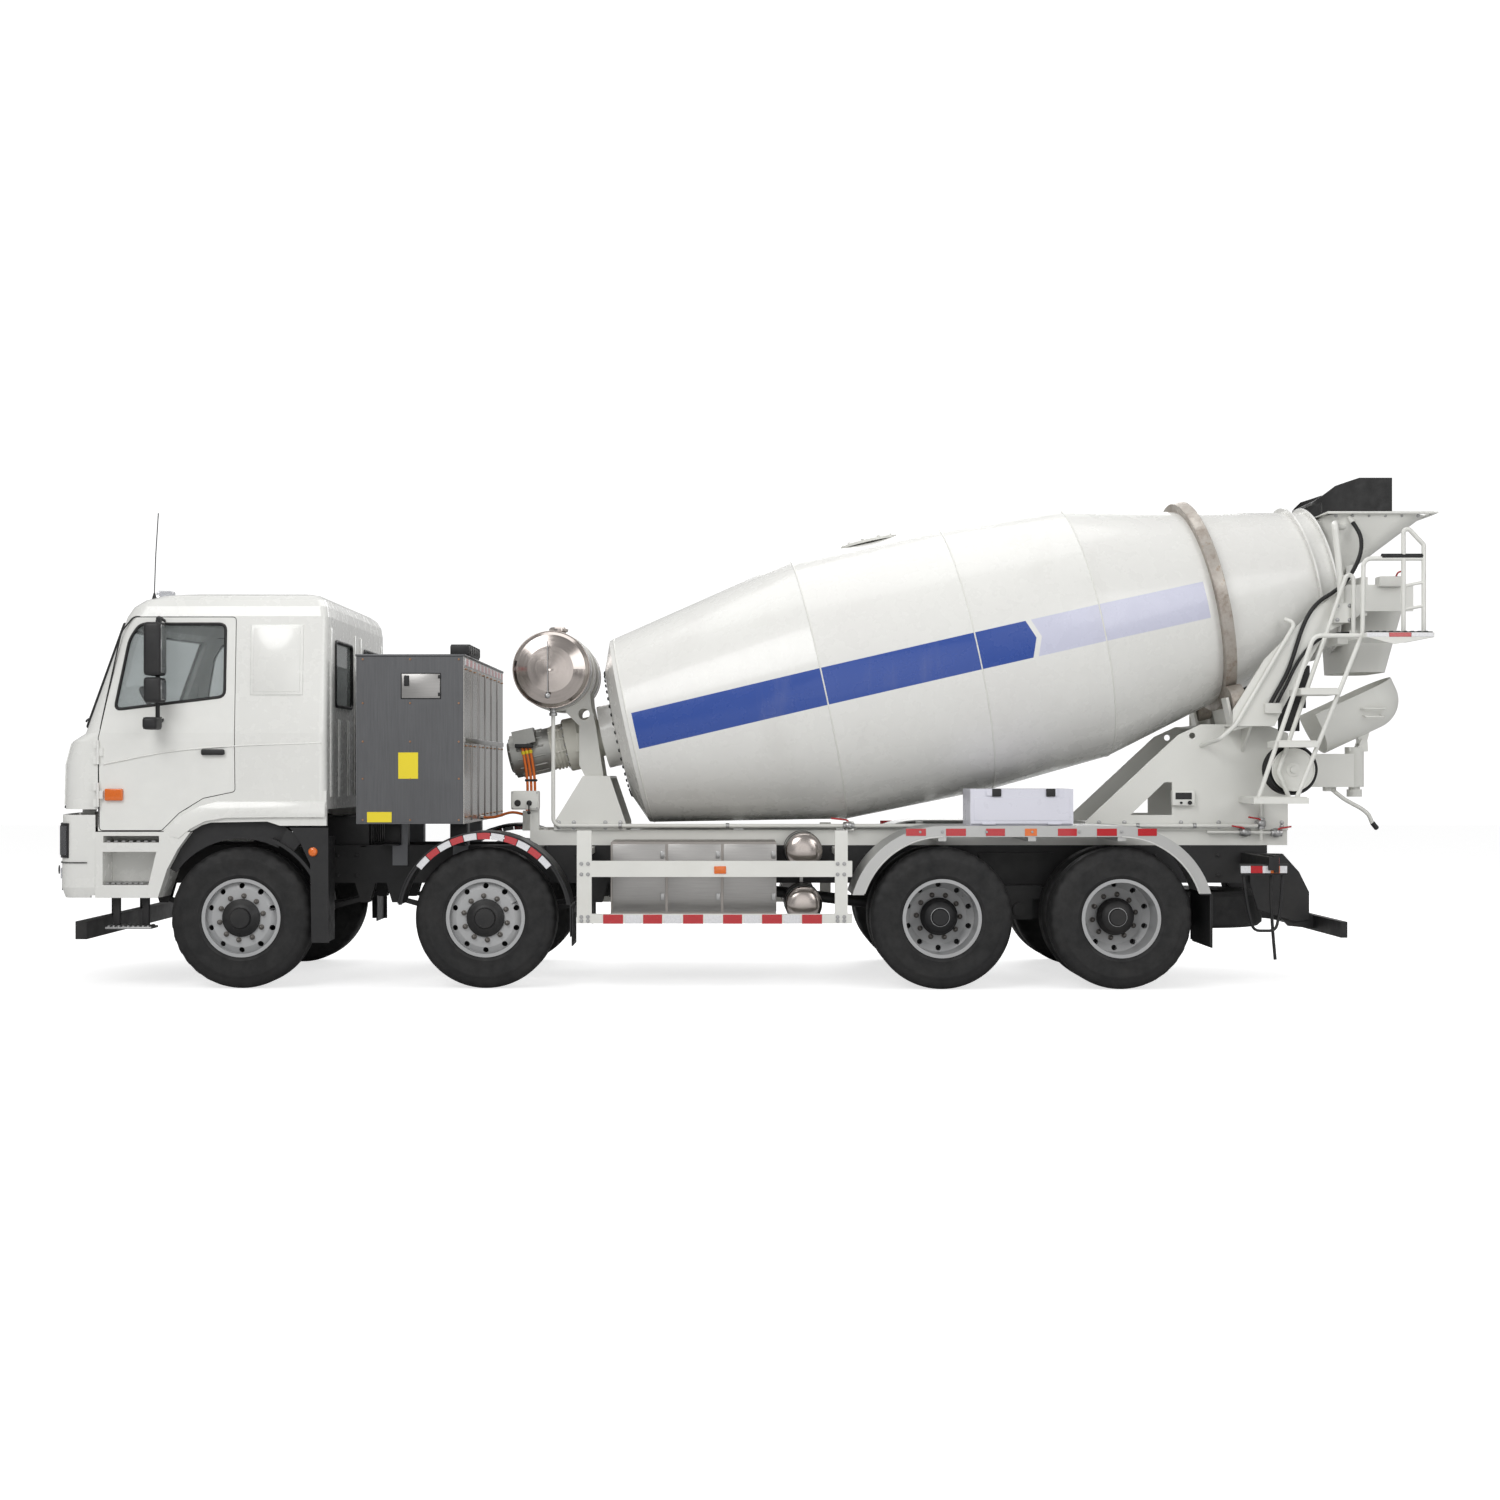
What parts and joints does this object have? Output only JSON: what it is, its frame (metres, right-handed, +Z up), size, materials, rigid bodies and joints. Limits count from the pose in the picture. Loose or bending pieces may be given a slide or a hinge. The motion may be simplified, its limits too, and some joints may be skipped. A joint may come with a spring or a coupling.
{
  "type": "concrete mixer truck",
  "caption": "Four-axle cab-over truck with a tilted rotating drum, feed hopper, discharge chute, water tank and battery cabinet, for mixing and delivering concrete.",
  "frame": {"origin": "on the ground under the middle of the machine's box", "axes": "+X to the rear, +Y to the machine's right side, +Z up"},
  "size_m": [10.84, 2.98, 3.971],
  "materials": {
    "cab_white": "gloss",
    "mixer_white": "gloss",
    "chassis_black": "satin",
    "stainless": "brushed",
    "tank_steel": "polished",
    "fender_silver": "satin",
    "ring_steel": "rusty",
    "rim_silver": "satin",
    "tyre": "rubber",
    "rubber": "rubber",
    "glass": "clear",
    "trim": "matte",
    "seat_cloth": "woven",
    "box_plastic": "gloss",
    "motor_grey": "cast"
  },
  "bodies": {
    "chassis": {"ladder_frame": "chassis_black", "axles_and_springs": "chassis_black", "motor_cables": "rubber", "traction_unit": "chassis_black", "mixer_subframe": "mixer_white", "front_pedestal": "mixer_white", "rear_pedestal": "mixer_white", "drum_reducer": "mixer_white", "drum_motor": "motor_grey", "water_tank": "tank_steel", "battery_cabinet": "stainless", "side_equipment": "stainless", "wing_hoses": "rubber", "side_guards": "mixer_white", "mudguards": "trim", "drive_fenders": "fender_silver", "front_bumper": "cab_white", "rear_bumper": "chassis_black", "feed_hopper": "mixer_white", "hopper_apron": "rubber", "access_ladder": "mixer_white", "spare_wheel": "tyre", "toolbox": "box_plastic", "water_line": "mixer_white", "water_hoses": "rubber"},
    "cab": {"cab_shell": "cab_white", "cab_glass": "glass", "cab_interior": "trim", "cab_seats": "seat_cloth"},
    "left_door": {"door_left": "cab_white", "door_glass_left": "glass"},
    "right_door": {"door_right": "cab_white", "door_glass_right": "glass"},
    "drum": {"drum_shell": "mixer_white", "drum_ring": "ring_steel"},
    "left_roller": {"roller_left": "ring_steel"},
    "right_roller": {"roller_right": "ring_steel"},
    "chute_swivel": {"chute_post": "mixer_white"},
    "main_chute": {"chute": "mixer_white"},
    "box_lid": {"toolbox_lid": "box_plastic"},
    "wheel_body_1_left": {"wheel_1_left": "rim_silver", "tyre_1_left": "tyre"},
    "steer_body_1_left": {"knuckle_1_left": "chassis_black"},
    "wheel_body_1_right": {"wheel_1_right": "rim_silver", "tyre_1_right": "tyre"},
    "steer_body_1_right": {"knuckle_1_right": "chassis_black"},
    "wheel_body_2_left": {"wheel_2_left": "rim_silver", "tyre_2_left": "tyre"},
    "steer_body_2_left": {"knuckle_2_left": "chassis_black"},
    "wheel_body_2_right": {"wheel_2_right": "rim_silver", "tyre_2_right": "tyre"},
    "steer_body_2_right": {"knuckle_2_right": "chassis_black"},
    "wheel_body_3_left": {"wheel_3_left": "rim_silver", "tyre_3_left": "tyre"},
    "wheel_body_3_right": {"wheel_3_right": "rim_silver", "tyre_3_right": "tyre"},
    "wheel_body_4_left": {"wheel_4_left": "rim_silver", "tyre_4_left": "tyre"},
    "wheel_body_4_right": {"wheel_4_right": "rim_silver", "tyre_4_right": "tyre"}
  },
  "joints": [
    {"name": "steer_1_left", "type": "hinge", "parent": "chassis", "child": "steer_body_1_left", "pos_m": [-3.882, -0.87, 0.536], "axis": [0, 0, 1], "range_deg": [-32, 32]},
    {"name": "spin_1_left", "type": "hinge", "parent": "steer_body_1_left", "child": "wheel_body_1_left", "pos_m": [-3.882, -1.03, 0.536], "axis": [0, 1, 0], "continuous": true},
    {"name": "steer_1_right", "type": "hinge", "parent": "chassis", "child": "steer_body_1_right", "pos_m": [-3.882, 0.87, 0.536], "axis": [0, 0, 1], "range_deg": [-32, 32]},
    {"name": "spin_1_right", "type": "hinge", "parent": "steer_body_1_right", "child": "wheel_body_1_right", "pos_m": [-3.882, 1.03, 0.536], "axis": [0, 1, 0], "continuous": true},
    {"name": "steer_2_left", "type": "hinge", "parent": "chassis", "child": "steer_body_2_left", "pos_m": [-2.032, -0.87, 0.536], "axis": [0, 0, 1], "range_deg": [-19.84, 19.84]},
    {"name": "spin_2_left", "type": "hinge", "parent": "steer_body_2_left", "child": "wheel_body_2_left", "pos_m": [-2.032, -1.03, 0.536], "axis": [0, 1, 0], "continuous": true},
    {"name": "steer_2_right", "type": "hinge", "parent": "chassis", "child": "steer_body_2_right", "pos_m": [-2.032, 0.87, 0.536], "axis": [0, 0, 1], "range_deg": [-19.84, 19.84]},
    {"name": "spin_2_right", "type": "hinge", "parent": "steer_body_2_right", "child": "wheel_body_2_right", "pos_m": [-2.032, 1.03, 0.536], "axis": [0, 1, 0], "continuous": true},
    {"name": "spin_3_left", "type": "hinge", "parent": "chassis", "child": "wheel_body_3_left", "pos_m": [1.418, -0.93, 0.536], "axis": [0, 1, 0], "continuous": true},
    {"name": "spin_3_right", "type": "hinge", "parent": "chassis", "child": "wheel_body_3_right", "pos_m": [1.418, 0.93, 0.536], "axis": [0, 1, 0], "continuous": true},
    {"name": "spin_4_left", "type": "hinge", "parent": "chassis", "child": "wheel_body_4_left", "pos_m": [2.768, -0.93, 0.536], "axis": [0, 1, 0], "continuous": true},
    {"name": "spin_4_right", "type": "hinge", "parent": "chassis", "child": "wheel_body_4_right", "pos_m": [2.768, 0.93, 0.536], "axis": [0, 1, 0], "continuous": true},
    {"name": "drum_spin", "type": "hinge", "parent": "chassis", "child": "drum", "pos_m": [-0.96, 0, 1.981], "axis": [0.9766, 0, 0.2151], "continuous": true},
    {"name": "roller_spin_left", "type": "hinge", "parent": "chassis", "child": "left_roller", "pos_m": [3.80457, -0.56514, 2.20385], "axis": [0.9766, 0, 0.2151], "continuous": true},
    {"name": "roller_spin_right", "type": "hinge", "parent": "chassis", "child": "right_roller", "pos_m": [3.80457, 0.56514, 2.20385], "axis": [0.9766, 0, 0.2151], "continuous": true},
    {"name": "cab_tilt", "type": "hinge", "parent": "chassis", "child": "cab", "pos_m": [-5.32, 0, 1.18], "axis": [0, -1, 0], "range_deg": [0, 50]},
    {"name": "door_swing_left", "type": "hinge", "parent": "cab", "child": "left_door", "pos_m": [-4.936, -1.256, 1.5], "axis": [0, 0, -1], "range_deg": [0, 70]},
    {"name": "door_swing_right", "type": "hinge", "parent": "cab", "child": "right_door", "pos_m": [-4.936, 1.256, 1.5], "axis": [0, 0, 1], "range_deg": [0, 70]},
    {"name": "chute_swing", "type": "hinge", "parent": "chassis", "child": "chute_swivel", "pos_m": [4.922, 0, 1.7], "axis": [0, 0, 1], "range_deg": [0, 240]},
    {"name": "chute_tilt", "type": "hinge", "parent": "chute_swivel", "child": "main_chute", "pos_m": [4.985, 0, 1.885], "axis": [0, 1, 0], "range_deg": [0, 20]},
    {"name": "lid_swing", "type": "hinge", "parent": "chassis", "child": "box_lid", "pos_m": [2, -1.1753, 1.25], "axis": [1, 0, 0], "range_deg": [0, 90]}
  ],
  "couplings": [
    {"joint": "steer_1_right", "follows": "steer_1_left", "ratio": 1},
    {"joint": "steer_2_left", "follows": "steer_1_left", "ratio": 0.62},
    {"joint": "steer_2_right", "follows": "steer_1_left", "ratio": 0.62},
    {"joint": "roller_spin_left", "follows": "drum_spin", "ratio": -6.88},
    {"joint": "roller_spin_right", "follows": "drum_spin", "ratio": -6.88}
  ]
}
